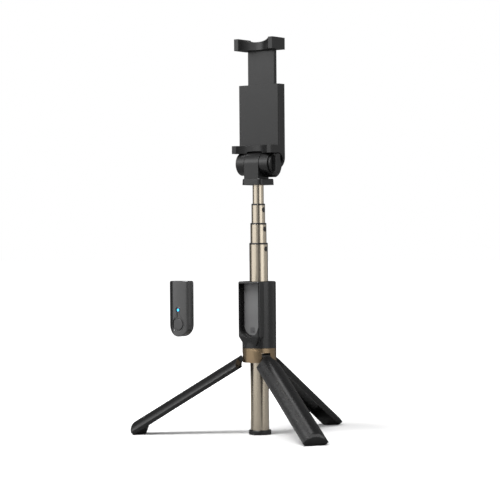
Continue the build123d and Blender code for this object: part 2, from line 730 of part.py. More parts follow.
with BuildPart() as clamp_front:
    with BuildSketch(Plane.XZ.offset(-CLAMP_SPLIT)):
        with Locations((0, LOWER_JAW_BOTTOM)):
            Rectangle(
                2 * CLAMP_HALF, CLAMP_TOP - LOWER_JAW_BOTTOM, align=(Align.CENTER, Align.MIN)
            )
    extrude(amount=CLAMP_SPLIT - CLAMP_FRONT)
    fillet(clamp_front.edges().filter_by(Axis.Z).group_by(Axis.Y)[0], 1.2)
    lower_plan = jaw_plan(LOWER_JAW_BOTTOM, CLAMP_HALF, LOWER_JAW_FRONT, CLAMP_SPLIT - 0.5, 5.2)
    extrude(lower_plan, amount=LOWER_JAW_TOP - LOWER_JAW_BOTTOM)
    fillet(clamp_front.edges().filter_by(Axis.Z).group_by(Axis.Y)[0], 1.0)
    about_hinge(TONGUE_RELIEF_R, -EAR_IN, EAR_IN, Mode.SUBTRACT)
    about_hinge(KNOB_POCKET_R, EAR_OUT, CLAMP_HALF + 1, Mode.SUBTRACT)
    about_hinge(KNOB_POCKET_R, -CLAMP_HALF - 1, -EAR_OUT, Mode.SUBTRACT)
    about_hinge(EAR_R, EAR_IN, EAR_OUT, Mode.SUBTRACT)
    about_hinge(EAR_R, -EAR_OUT, -EAR_IN, Mode.SUBTRACT)
    clamp_insides()
    lower_pocket = pad_outline(LOWER_JAW_TOP - PAD_T + GAP, LOWER_PAD, LOWER_PAD_Y)
    extrude(lower_pocket, amount=PAD_T, mode=Mode.SUBTRACT)
save(clamp_front, "clamp_front")

with BuildPart() as lower_jaw_pad:
    extrude(pad_outline(LOWER_JAW_TOP - PAD_T + GAP, LOWER_PAD, LOWER_PAD_Y), amount=PAD_T)
save(lower_jaw_pad, "lower_jaw_pad")

with BuildPart() as upper_jaw:
    upper_plan = jaw_plan(UPPER_JAW_BOTTOM, UPPER_JAW_HALF, UPPER_JAW_FRONT, UPPER_JAW_BACK, 6.0)
    extrude(upper_plan, amount=UPPER_JAW_TOP - UPPER_JAW_BOTTOM)
    fillet(upper_jaw.edges().filter_by(Axis.Z), 0.9)
    with BuildSketch(Plane.XZ.offset(-UPPER_JAW_BACK - 1)):
        with BuildLine():
            rise = UPPER_JAW_TOP + 1
            left = Line((PRONG - UPPER_JAW_HALF, rise), (PRONG - UPPER_JAW_HALF, UPPER_JAW_TOP - 0.6))
            dip = ThreePointArc(
                left @ 1, (0, UPPER_JAW_TOP - 3.0), (UPPER_JAW_HALF - PRONG, UPPER_JAW_TOP - 0.6)
            )
            Polyline(dip @ 1, (UPPER_JAW_HALF - PRONG, rise), left @ 0)
        make_face()
    extrude(amount=30, mode=Mode.SUBTRACT)
    upper_pocket = pad_outline(UPPER_JAW_BOTTOM + PAD_T - GAP, UPPER_PAD, UPPER_PAD_Y)
    extrude(upper_pocket, amount=-PAD_T, mode=Mode.SUBTRACT)
    with BuildSketch(Plane.XY.offset(UPPER_JAW_BOTTOM)):
        with Locations((0, SLIDER_BACK)):
            Rectangle(2 * SLIDER_HALF, SLIDER_T, align=(Align.CENTER, Align.MAX))
    extrude(amount=SLIDER_IN_JAW, mode=Mode.SUBTRACT)
save(upper_jaw, "upper_jaw")

with BuildPart() as upper_jaw_pad:
    extrude(pad_outline(UPPER_JAW_BOTTOM + PAD_T - GAP, UPPER_PAD, UPPER_PAD_Y), amount=-PAD_T)
save(upper_jaw_pad, "upper_jaw_pad")

# The slider is a plate that hangs from the upper jaw, with a foot that rides on two rods.
with BuildPart() as jaw_slider:
    with BuildSketch(Plane.XY.offset(SLIDER_BOTTOM)):
        with Locations((0, SLIDER_BACK)):
            Rectangle(2 * SLIDER_HALF, SLIDER_T, align=(Align.CENTER, Align.MAX))
    extrude(amount=UPPER_JAW_BOTTOM + SLIDER_IN_JAW - SLIDER_BOTTOM)
    with BuildSketch(Plane.XY.offset(SLIDER_BOTTOM)):
        with Locations((0, SLIDER_FRONT)):
            Rectangle(2 * (CAVITY_HALF - GAP), SLIDER_BACK - SLIDER_FRONT, align=(Align.CENTER, Align.MIN))
        with Locations((-ROD_X, ROD_Y), (ROD_X, ROD_Y)):
            Circle(ROD_R + FIT, mode=Mode.SUBTRACT)
    extrude(amount=SLIDER_FOOT_H)
    with BuildSketch(Plane.XZ.offset(-SLIDER_FRONT)):
        with Locations((0, HOLLOW_Z)):
            SlotOverall(HOLLOW_SIZE[0], HOLLOW_SIZE[1], rotation=90)
    extrude(amount=-HOLLOW_DEPTH, mode=Mode.SUBTRACT)
save(jaw_slider, "jaw_slider")

with BuildPart() as guide_rods:
    with BuildSketch(Plane.XY.offset(CAVITY_BOTTOM)):
        with Locations((-ROD_X, ROD_Y), (ROD_X, ROD_Y)):
            Circle(ROD_R)
    extrude(amount=CAVITY_TOP - CAVITY_BOTTOM)
save(guide_rods, "guide_rods")


def clamp_spring(name, x):
    """Compression spring round one rod, as the sleeve of space that its coils fill."""
    low = SLIDER_BOTTOM + SLIDER_FOOT_H
    with BuildPart() as piece:
        with BuildSketch(Plane.XY.offset(low)):
            with Locations((x, ROD_Y)):
                Circle(SPRING_R + SPRING_WIRE_R)
                Circle(SPRING_R - SPRING_WIRE_R, mode=Mode.SUBTRACT)
        extrude(amount=CAVITY_TOP - low)
    save(piece, name)


clamp_spring("clamp_spring_left", -ROD_X)
clamp_spring("clamp_spring_right", ROD_X)

with BuildPart() as clamp_screws:
    with BuildSketch(Plane.XZ.offset(CLAMP_HEAD_DEPTH - CLAMP_BACK)):
        with Locations(*SCREW_SPOTS):
            Circle(CLAMP_SCREW_R)
    extrude(amount=CLAMP_BACK - CLAMP_HEAD_DEPTH - CAVITY_FRONT - 0.2)
    with BuildSketch(Plane.XZ.offset(0.2 - CLAMP_BACK)):
        with Locations(*SCREW_SPOTS):
            Circle(CLAMP_HEAD_R)
            RegularPolygon(SOCKET_R, 6, mode=Mode.SUBTRACT)
    extrude(amount=CLAMP_HEAD_DEPTH - 0.2)
save(clamp_screws, "clamp_screws")

with BuildPart() as hinge_nut:
    with BuildSketch(Plane.YZ.offset(-EAR_IN - 0.1)):
        with Locations((0, HINGE_Z)):
            RegularPolygon(NUT_R, 6)
            Circle(BOLT_R + FIT, mode=Mode.SUBTRACT)
    extrude(amount=-NUT_T)
save(hinge_nut, "hinge_nut")

with BuildPart() as hinge_bolt:
    about_hinge(BOLT_R, BOLT_START, KNOB_START + BOLT_IN_KNOB, Mode.ADD)
save(hinge_bolt, "hinge_bolt")

WING_HALF = 3.2
KNOB_DISC_T = 1.8
with BuildPart() as tilt_knob:
    about_hinge(KNOB_R, KNOB_START, KNOB_START + KNOB_DISC_T, Mode.ADD)
    with BuildSketch(Plane.YZ.offset(KNOB_START)):
        with Locations((0, HINGE_Z)):
            Rectangle(2 * WING_HALF, 2 * KNOB_R)
    extrude(amount=KNOB_END - KNOB_START)
    about_hinge(KNOB_R, KNOB_START, KNOB_END, Mode.INTERSECT)
    fillet(tilt_knob.faces().sort_by(Axis.X)[-1].edges(), 1.2)
    about_hinge(BOLT_R, KNOB_START, KNOB_START + BOLT_IN_KNOB, Mode.SUBTRACT)
save(tilt_knob, "tilt_knob")


# ---------------------------------------------------------------- remote
def front_plane(depth):
    """Plane facing -Y, at a depth counted forwards from the pole's axis when docked."""
    return Plane(origin=(0, -depth - REMOTE_OUT, REMOTE_LIFT), x_dir=(1, 0, 0), z_dir=(0, -1, 0))


def remote_outline(depth, inset):
    """Outline of the remote: square top with small corners, round lower end."""
    half = REMOTE_HALF - inset
    with BuildSketch(front_plane(depth)) as outline:
        with Locations((0, DOCK_CENTRE_Z)):
            Circle(half)
            Rectangle(
                2 * half, REMOTE_TOP - inset - DOCK_CENTRE_Z, align=(Align.CENTER, Align.MIN)
            )
        fillet(outline.vertices().group_by(Axis.Z)[-1], 1.6)
    return outline.sketch


GROOVE_DEPTH_IN = 11.5          # finger groove along each side, near the seam
GROOVE_W = 0.8
GROOVE_CUT = 0.4
GROOVE_MID = 101.0
GROOVE_LENGTH = 25.0
with BuildPart() as remote_back:
    extrude(remote_outline(REMOTE_BACK, 0), amount=REMOTE_SPLIT - REMOTE_BACK)
    fillet(remote_back.faces().sort_by(Axis.Y)[-1].edges(), 0.9)
    extrude(
        remote_outline(REMOTE_BACK + REMOTE_WALL, REMOTE_WALL),
        amount=REMOTE_SPLIT - REMOTE_BACK,
        mode=Mode.SUBTRACT,
    )
    with BuildSketch(front_plane(GROOVE_DEPTH_IN)):
        with Locations((REMOTE_HALF, GROOVE_MID), (-REMOTE_HALF, GROOVE_MID)):
            Rectangle(2 * GROOVE_CUT, GROOVE_LENGTH)
    extrude(amount=GROOVE_W, mode=Mode.SUBTRACT)
save(remote_back, "remote_back")

REMOTE_FRONT = REMOTE_BACK + REMOTE_T
CROWN_R = 22.0
BEZEL_R = 5.6
BEZEL_DEPTH = 0.5
BEZEL_NECK = 2.2
BEZEL_LAMP_R = 2.1
SEAM = 0.25                     # open seam between the halves, with a lip inside it
LIP_INSET = 0.4
FRONT_WALL = 1.4
BUTTON_FLANGE = 0.8
BUTTON_FLANGE_T = 0.6
BUTTON_BACK = 15.2
BUTTON_PROUD = 0.1


def crown(radius):
    """Cross-section of the remote's crowned front, from below its rounded end."""
    with BuildSketch(Plane.XY.offset(DOCK_CENTRE_Z - 12)) as section:
        with Locations((0, CROWN_R - REMOTE_FRONT - REMOTE_OUT)):
            Circle(radius)
    return section.sketch


with BuildPart() as bezel_cut:
    with BuildSketch(front_plane(REMOTE_SPLIT)):
        with Locations((0, BUTTON_Z)):
            Circle(BEZEL_R)
        with Locations((0, (BUTTON_Z + LED_Z) / 2)):
            Rectangle(BEZEL_NECK, LED_Z - BUTTON_Z)
        with Locations((0, LED_Z)):
            Circle(BEZEL_LAMP_R)
    extrude(amount=10)
    extrude(crown(CROWN_R - BEZEL_DEPTH), amount=60, mode=Mode.SUBTRACT)

with BuildPart() as remote_front:
    extrude(remote_outline(REMOTE_SPLIT + SEAM, 0), amount=REMOTE_FRONT - REMOTE_SPLIT - SEAM)
    extrude(crown(CROWN_R), amount=60, mode=Mode.INTERSECT)
    fillet(remote_front.faces().sort_by(Axis.Y)[0].edges(), 0.6)
    extrude(remote_outline(REMOTE_SPLIT, LIP_INSET), amount=0.4)
    extrude(
        remote_outline(REMOTE_SPLIT - 1, REMOTE_WALL), amount=1 + FRONT_WALL, mode=Mode.SUBTRACT
    )
    with BuildSketch(front_plane(REMOTE_SPLIT)):
        with Locations((0, BUTTON_Z)):
            Circle(BUTTON_R + BUTTON_FLANGE + GAP)
    extrude(amount=BUTTON_BACK + 1.0 - REMOTE_SPLIT, mode=Mode.SUBTRACT)
    add(bezel_cut.part, mode=Mode.SUBTRACT)
    with BuildSketch(front_plane(REMOTE_SPLIT)):
        with Locations((0, BUTTON_Z)):
            Circle(BUTTON_R + GAP)
        with Locations((0, LED_Z)):
            Circle(LED_R)
    extrude(amount=10, mode=Mode.SUBTRACT)
save(remote_front, "remote_front")

BOARD_BACK = 12.9
BOARD_T = 0.8
BOARD_SIZE = (14.4, 34.0)
BOARD_Z = 102.0
DOME_R = 2.2
DOME_H = 0.7
CELL_R = 6.25
CELL_T = 2.0
CELL_Z = 106.0
with BuildPart() as remote_board:
    with BuildSketch(front_plane(BOARD_BACK)):
        with Locations((0, BOARD_Z)):
            RectangleRounded(BOARD_SIZE[0], BOARD_SIZE[1], 2)
    extrude(amount=BOARD_T)
save(remote_board, "remote_board")

with BuildPart() as remote_dome:
    with BuildSketch(front_plane(BOARD_BACK + BOARD_T)):
        with Locations((0, BUTTON_Z)):
            Circle(DOME_R)
    extrude(amount=DOME_H)
save(remote_dome, "remote_dome")

with BuildPart() as remote_cell:
    with BuildSketch(front_plane(BOARD_BACK - CELL_T)):
        with Locations((0, CELL_Z)):
            Circle(CELL_R)
    extrude(amount=CELL_T)
save(remote_cell, "remote_cell")

with BuildPart() as remote_led:
    with BuildSketch(front_plane(BOARD_BACK + BOARD_T)):
        with Locations((0, LED_Z)):
            Circle(LED_R)
    extrude(amount=REMOTE_FRONT - BOARD_BACK - BOARD_T - 0.25)
save(remote_led, "remote_led")

with BuildPart() as remote_button:
    with BuildSketch(front_plane(BUTTON_BACK)):
        with Locations((0, BUTTON_Z)):
            Circle(BUTTON_R)
    extrude(amount=REMOTE_FRONT + BUTTON_PROUD - BUTTON_BACK)
    extrude(crown(CROWN_R + BUTTON_PROUD), amount=60, mode=Mode.INTERSECT)
    fillet(remote_button.faces().sort_by(Axis.Y)[0].edges(), 0.35)
    with BuildSketch(front_plane(BUTTON_BACK)):
        with Locations((0, BUTTON_Z)):
            Circle(BUTTON_R + BUTTON_FLANGE)
    extrude(amount=BUTTON_FLANGE_T)
save(remote_button, "remote_button")
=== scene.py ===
"""Looks of the tripod selfie stick: camera, studio, materials and the fine surface pieces."""
import json
from math import cos, pi, radians, sin

import bmesh
import bpy
from mathutils import Matrix, Vector


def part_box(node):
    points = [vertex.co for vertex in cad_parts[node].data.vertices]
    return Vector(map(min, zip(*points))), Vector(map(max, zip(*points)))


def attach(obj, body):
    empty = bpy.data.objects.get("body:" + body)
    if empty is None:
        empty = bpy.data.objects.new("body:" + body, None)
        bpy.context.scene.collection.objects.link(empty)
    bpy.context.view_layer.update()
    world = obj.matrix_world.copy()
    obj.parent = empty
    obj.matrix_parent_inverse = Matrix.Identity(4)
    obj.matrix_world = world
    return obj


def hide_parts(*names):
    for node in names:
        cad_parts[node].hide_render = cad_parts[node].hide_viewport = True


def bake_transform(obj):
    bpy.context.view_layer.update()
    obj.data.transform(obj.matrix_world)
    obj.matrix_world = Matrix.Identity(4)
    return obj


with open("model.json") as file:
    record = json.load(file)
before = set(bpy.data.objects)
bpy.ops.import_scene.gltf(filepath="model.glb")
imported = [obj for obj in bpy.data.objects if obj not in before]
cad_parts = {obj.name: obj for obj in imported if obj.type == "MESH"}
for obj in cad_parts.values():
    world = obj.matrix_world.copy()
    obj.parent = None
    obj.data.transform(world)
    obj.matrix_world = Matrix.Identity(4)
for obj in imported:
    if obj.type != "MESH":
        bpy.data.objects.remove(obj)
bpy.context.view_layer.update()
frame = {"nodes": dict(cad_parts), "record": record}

MM = 0.001

# ------------------------------------------------------------------ camera
CAMERA_AZIMUTH = radians(35.96)     # round the pole, from the front towards the tilt knob
CAMERA_DISTANCE = 1.5935            # from the pole, in metres
CAMERA_HEIGHT = 0.155
CAMERA_PITCH = radians(-0.21)
CAMERA_PAN = radians(0.25)
CAMERA_ROLL = radians(-0.455)
CAMERA_LENS = 141.7                 # millimetres, on a sensor of the width below
CAMERA_SENSOR = 36
CAMERA_REACH = 50                   # metres, past the edge of the floor

TOWARD_CAMERA = Vector((sin(CAMERA_AZIMUTH), -cos(CAMERA_AZIMUTH), 0))
SCREEN_RIGHT = Vector((cos(CAMERA_AZIMUTH), sin(CAMERA_AZIMUTH), 0))


def make_camera():
    """Camera at the photographed angle, held by its own three axes."""
    yaw = CAMERA_AZIMUTH + CAMERA_PAN
    forward = Vector((
        -sin(yaw) * cos(CAMERA_PITCH),
        cos(yaw) * cos(CAMERA_PITCH),
        sin(CAMERA_PITCH),
    ))
    level_right = Vector((cos(yaw), sin(yaw), 0))
    level_up = level_right.cross(forward)
    right = level_right * cos(CAMERA_ROLL) + level_up * sin(CAMERA_ROLL)
    up = level_up * cos(CAMERA_ROLL) - level_right * sin(CAMERA_ROLL)
    camera = bpy.data.objects.new("camera", bpy.data.cameras.new("camera"))
    camera.data.lens = CAMERA_LENS
    camera.data.sensor_width = CAMERA_SENSOR
    camera.data.clip_end = CAMERA_REACH
    turn = Matrix((right, up, -forward)).transposed().to_4x4()
    place = TOWARD_CAMERA * CAMERA_DISTANCE + Vector((0, 0, CAMERA_HEIGHT))
    camera.matrix_world = Matrix.Translation(place) @ turn
    bpy.context.collection.objects.link(camera)
    bpy.context.scene.camera = camera


make_camera()


# ------------------------------------------------------------------ studio
WHITE = (1, 1, 1, 1)
ROOM_LIGHT = 0.12                   # how strongly the white surroundings light the object
FLOOR_SIZE = 24
FLOOR_DROP = 0.2 * MM               # how far the floor lies below the end cap and the feet
FLOOR_GLOW_FROM = 0.11              # nearer to the pole than this, the floor has no light of its own
FLOOR_GLOW_FULL = 0.28              # beyond this, its own light makes it plain white
FLOOR_BOUNCE = 0.30                 # how bright the floor is in reflections
FLOOR_WHITE = 0.86                  # how strongly it shows the light that falls on it


def make_surroundings():
    """Background that the camera sees as white, and that lights the object only a little."""
    world = bpy.data.worlds.new("studio")
    bpy.context.scene.world = world
    world.use_nodes = True
    nodes, links = world.node_tree.nodes, world.node_tree.links
    nodes.clear()
    seen = nodes.new("ShaderNodeBackground")
    seen.inputs["Color"].default_value = WHITE
    seen.inputs["Strength"].default_value = 1.0
    lit = nodes.new("ShaderNodeBackground")
    lit.inputs["Color"].default_value = WHITE
    lit.inputs["Strength"].default_value = ROOM_LIGHT
    path = nodes.new("ShaderNodeLightPath")
    mix = nodes.new("ShaderNodeMixShader")
    out = nodes.new("ShaderNodeOutputWorld")
    links.new(path.outputs["Is Camera Ray"], mix.inputs["Fac"])
    links.new(lit.outputs[0], mix.inputs[1])
    links.new(seen.outputs[0], mix.inputs[2])
    links.new(mix.outputs[0], out.inputs[0])


def softbox(name, turn, distance, height, size, power, aim_height=0.15):
    """Area light at an angle to the right of the camera's direction, turned to the pole."""
    light = bpy.data.lights.new(name, "AREA")
    light.shape = "RECTANGLE"
    light.size, light.size_y = size
    light.energy = power
    box = bpy.data.objects.new(name, light)
    turn = radians(turn)
    side = TOWARD_CAMERA * cos(turn) + SCREEN_RIGHT * sin(turn)
    box.location = side * distance + Vector((0, 0, height))
    aim = Vector((0, 0, aim_height)) - box.location
    box.rotation_euler = aim.to_track_quat("-Z", "Y").to_euler()
    box.visible_camera = False
    bpy.context.collection.objects.link(box)


def make_lights():
    """Tall boxes on both sides with a dark gap near the camera, and four higher ones."""
    softbox("left_box", turn=-67, distance=1.1, height=0.45, size=(1.45, 1.3), power=6.6)
    softbox("left_front_box", turn=-23, distance=1.15, height=0.45, size=(0.62, 1.3), power=0.95)
    softbox("right_box", turn=45, distance=1.1, height=0.45, size=(0.85, 1.3), power=4.9)
    softbox("right_side_box", turn=97, distance=1.0, height=0.40, size=(1.4, 1.2), power=2.0)
    softbox("top_box", turn=-60, distance=0.45, height=1.25, size=(1.2, 1.2), power=1.1, aim_height=0.0)
    softbox("flank_box", turn=-82, distance=1.25, height=0.66, size=(0.75, 0.5), power=2.5, aim_height=0.02)
    softbox("shadow_box", turn=-42, distance=0.6, height=1.06, size=(0.55, 0.55), power=15, aim_height=0.02)
    softbox("crest_box", turn=186, distance=0.46, height=1.22, size=(0.5, 0.5), power=1.8, aim_height=0.03)


def floor_paint():
    """White that keeps shadows near the object and hides the floor's far edge by its own light."""
    paint = bpy.data.materials.new("floor_white")
    paint.use_nodes = True
    nodes, links = paint.node_tree.nodes, paint.node_tree.links
    nodes.clear()
    matt = nodes.new("ShaderNodeBsdfDiffuse")
    glowing = nodes.new("ShaderNodeEmission")
    both = nodes.new("ShaderNodeAddShader")
    surface = nodes.new("ShaderNodeOutputMaterial")
    where = nodes.new("ShaderNodeTexCoord")
    reach = nodes.new("ShaderNodeVectorMath")
    reach.operation = "LENGTH"
    fade = nodes.new("ShaderNodeMapRange")
    fade.inputs["From Min"].default_value = FLOOR_GLOW_FROM
    fade.inputs["From Max"].default_value = FLOOR_GLOW_FULL
    seen = nodes.new("ShaderNodeLightPath")
    glow = nodes.new("ShaderNodeMath")
    glow.operation = "MULTIPLY"
    white = nodes.new("ShaderNodeMapRange")
    white.inputs["To Min"].default_value = FLOOR_BOUNCE
    white.inputs["To Max"].default_value = FLOOR_WHITE
    links.new(where.outputs["Object"], reach.inputs[0])
    links.new(reach.outputs["Value"], fade.inputs["Value"])
    links.new(fade.outputs["Result"], glow.inputs[0])
    links.new(seen.outputs["Is Camera Ray"], glow.inputs[1])
    links.new(glow.outputs["Value"], glowing.inputs["Strength"])
    links.new(seen.outputs["Is Camera Ray"], white.inputs["Value"])
    links.new(white.outputs["Result"], matt.inputs["Color"])
    links.new(matt.outputs[0], both.inputs[0])
    links.new(glowing.outputs[0], both.inputs[1])
    links.new(both.outputs[0], surface.inputs["Surface"])
    return paint


def make_floor():
    """Plain floor, a hair below the feet."""
    bpy.ops.mesh.primitive_plane_add(size=FLOOR_SIZE, location=(0, 0, -FLOOR_DROP))
    floor = bpy.context.object
    floor.name = "floor"
    floor.data.materials.append(floor_paint())


bpy.context.scene.view_settings.view_transform = "Standard"
make_surroundings()
make_lights()
make_floor()

# ------------------------------------------------------------------ materials
BEVEL_SAMPLES = 4
EDGE_WEAR_AND_HIGHLIGHT_FROM = 0.995       # cosine between a rounded edge's normal and the flat one where the edges start to be painted paler, as wear and painted highlight
EDGE_WEAR_AND_HIGHLIGHT_FULL = 0.86        # and where that paler edge is full


class Finish:
    """A Principled material with a few node shortcuts."""

    def __init__(self, name, metallic=0.0, specular=0.5, coat=0.0, coat_roughness=0.2, anisotropy=0.0):
        self.material = bpy.data.materials.new(name)
        self.material.use_nodes = True
        self.nodes = self.material.node_tree.nodes
        self.links = self.material.node_tree.links
        self.shader = self.nodes["Principled BSDF"]
        self.shader.inputs["Metallic"].default_value = metallic
        self.shader.inputs["Specular IOR Level"].default_value = specular
        self.shader.inputs["Coat Weight"].default_value = coat
        self.shader.inputs["Coat Roughness"].default_value = coat_roughness
        self.shader.inputs["Anisotropic"].default_value = anisotropy
        self.where = self.nodes.new("ShaderNodeTexCoord").outputs["Object"]
        self.soft_edges = None

    def round_edges(self, radius):
        """Soften the look of sharp edges; gives a factor that is 1 along the edges, which the finishes
        paint paler as edge wear and painted highlight.
        """
        bevel = self.nodes.new("ShaderNodeBevel")
        bevel.samples = BEVEL_SAMPLES
        bevel.inputs["Radius"].default_value = radius
        flat = self.nodes.new("ShaderNodeNewGeometry")
        agree = self.nodes.new("ShaderNodeVectorMath")
        agree.operation = "DOT_PRODUCT"
        self.links.new(bevel.outputs["Normal"], agree.inputs[0])
        self.links.new(flat.outputs["Normal"], agree.inputs[1])
        self.soft_edges = bevel.outputs["Normal"]
        return self.between(agree.outputs["Value"], 1.0, 0.0, start=EDGE_WEAR_AND_HIGHLIGHT_FULL, end=EDGE_WEAR_AND_HIGHLIGHT_FROM)

    def mix(self, factor, low, high):
        """Blend from one node's colour to a plain colour by a factor."""
        mixer = self.nodes.new("ShaderNodeMixRGB")
        self.links.new(factor, mixer.inputs["Fac"])
        self.links.new(low, mixer.inputs["Color1"])
        mixer.inputs["Color2"].default_value = (*high, 1)
        return mixer.outputs["Color"]

    def product(self, first, second):
        """Two factors multiplied."""
        times = self.nodes.new("ShaderNodeMath")
        times.operation = "MULTIPLY"
        self.links.new(first, times.inputs[0])
        self.links.new(second, times.inputs[1])
        return times.outputs["Value"]

    def stretched(self, x, y, z):
        """Object coordinates scaled unevenly, for grain with a direction."""
        mapping = self.nodes.new("ShaderNodeMapping")
        mapping.inputs["Scale"].default_value = (x, y, z)
        self.links.new(self.where, mapping.inputs["Vector"])
        return mapping.outputs["Vector"]

    def noise(self, scale, detail, vector=None):
        """Cloudy noise from 0 to 1."""
        texture = self.nodes.new("ShaderNodeTexNoise")
        texture.inputs["Scale"].default_value = scale
        texture.inputs["Detail"].default_value = detail
        self.links.new(vector or self.where, texture.inputs["Vector"])
        return texture.outputs["Fac"]

    def cells(self, scale):
        """Distance to the nearest of many scattered points."""
        texture = self.nodes.new("ShaderNodeTexVoronoi")
        texture.inputs["Scale"].default_value = scale
        self.links.new(self.where, texture.inputs["Vector"])
        return texture.outputs["Distance"]

    def ramp(self, factor, *stops):
        """Colour ramp through (position, colour) stops."""
        ramp = self.nodes.new("ShaderNodeValToRGB")
        for element, (position, colour) in zip(ramp.color_ramp.elements, stops):
            element.position = position
            element.color = (*colour, 1)
        self.links.new(factor, ramp.inputs["Fac"])
        return ramp.outputs["Color"]

    def between(self, factor, low, high, start=0.3, end=0.7):
        """A number that goes from low to high as the factor goes from start to end."""
        spread = self.nodes.new("ShaderNodeMapRange")
        spread.inputs["From Min"].default_value = start
        spread.inputs["From Max"].default_value = end
        spread.inputs["To Min"].default_value = low
        spread.inputs["To Max"].default_value = high
        self.links.new(factor, spread.inputs["Value"])
        return spread.outputs["Result"]

    def bump(self, *layers):
        """Stack bump layers, each (height, strength, distance)."""
        below = self.soft_edges
        for height, strength, distance in layers:
            bump = self.nodes.new("ShaderNodeBump")
            bump.inputs["Strength"].default_value = strength
            bump.inputs["Distance"].default_value = distance
            self.links.new(height, bump.inputs["Height"])
            if below:
                self.links.new(below, bump.inputs["Normal"])
            below = bump.outputs["Normal"]
        self.links.new(below, self.shader.inputs["Normal"])

    def feed(self, socket, value):
        """Link a node's output to one of the shader's inputs."""
        self.links.new(value, self.shader.inputs[socket])


def shade(colour, factor):
    """Colour made darker or lighter by a factor."""
    return tuple(part * factor for part in colour)


def anodised(name, colour, roughness):
    """Drawn and anodised aluminium: long faint draw marks, a very fine satin grain, and edges painted paler
    as edge wear and a painted highlight.
    """
    finish = Finish(name, metallic=1.0, anisotropy=0.2)
    edge_wear_and_highlight = finish.round_edges(0.15 * MM)
    draw = finish.noise(scale=900, detail=2, vector=finish.stretched(1, 1, 0.01))
    cloud = finish.noise(scale=60, detail=2)
    grain = finish.noise(scale=5200, detail=2)
    tint = finish.ramp(draw, (0.3, shade(colour, 0.97)), (0.7, shade(colour, 1.02)))
    # Every edge is painted 15 % paler: a painted highlight along the edges, and edge wear.
    finish.feed("Base Color", finish.mix(edge_wear_and_highlight, tint, shade(colour, 1.15)))
    finish.feed("Roughness", finish.between(cloud, roughness - 0.01, roughness + 0.015))
    finish.bump((grain, 0.05, 0.005 * MM))
    return finish.material


def moulded(name, colour, roughness, grain_scale=4200, grain_depth=0.12, specular=0.6, wear_and_highlight_lift=2.4, coat=0.0):
    """Moulded plastic: spark-eroded grain, slight clouding, and edges painted paler: a painted highlight on
    every edge, and wear rubbed paler here and there.
    """
    finish = Finish(name, specular=specular, coat=coat, coat_roughness=0.12)
    edge_wear_and_highlight = finish.round_edges(0.3 * MM)
    grain = finish.noise(scale=grain_scale, detail=3)
    pits = finish.cells(scale=grain_scale * 0.55)
    cloud = finish.noise(scale=45, detail=3)
    rubbed = finish.noise(scale=120, detail=3)
    # Painted paler edges: at least 30 % of the lift on every edge is a painted highlight; the rest is wear
    # that varies with the rubbed noise.
    wear_and_highlight_on_edges = finish.product(edge_wear_and_highlight, finish.between(rubbed, 0.3, 1.0, start=0.35, end=0.65))
    tint = finish.ramp(cloud, (0.3, shade(colour, 0.88)), (0.7, shade(colour, 1.14)))
    finish.feed("Base Color", finish.mix(wear_and_highlight_on_edges, tint, shade(colour, wear_and_highlight_lift)))
    finish.feed("Roughness", finish.between(rubbed, roughness - 0.012, roughness + 0.018))
    finish.bump((grain, grain_depth, 0.004 * MM), (pits, grain_depth * 0.5, 0.0025 * MM))
    return finish.material


def soft_rubber(name, colour):
    """Rubber: dull, fine-pored and a little dusty."""
    finish = Finish(name, specular=0.3)
    pores = finish.cells(scale=3600)
    dust = finish.noise(scale=260, detail=5)
    finish.feed("Base Color", finish.ramp(dust, (0.35, colour), (0.75, shade(colour, 1.9))))
    finish.feed("Roughness", finish.between(dust, 0.62, 0.82))
    finish.bump((pores, 0.4, 0.04 * MM))
    return finish.material


def machined(name, colour, roughness):
    """Turned or plated steel with fine tool marks."""
    finish = Finish(name, metallic=1.0)
    marks = finish.noise(scale=2600, detail=2, vector=finish.stretched(1, 1, 0.15))
    smudge = finish.noise(scale=150, detail=4)
    finish.feed("Base Color", finish.ramp(smudge, (0.3, shade(colour, 0.86)), (0.7, colour)))
    finish.feed("Roughness", finish.between(marks, roughness - 0.06, roughness + 0.08))
    finish.bump((marks, 0.2, 0.02 * MM))
    return finish.material


def glowing(name, colour, strength):
    """Lit light pipe of slightly cloudy plastic."""
    finish = Finish(name, coat=0.6, coat_roughness=0.05)
    cloud = finish.noise(scale=900, detail=2)
    tint = finish.ramp(cloud, (0.3, shade(colour, 0.8)), (0.7, colour))
    finish.feed("Base Color", tint)
    finish.feed("Emission Color", tint)
    finish.feed("Roughness", finish.between(cloud, 0.12, 0.25))
    finish.shader.inputs["Emission Strength"].default_value = strength
    return finish.material


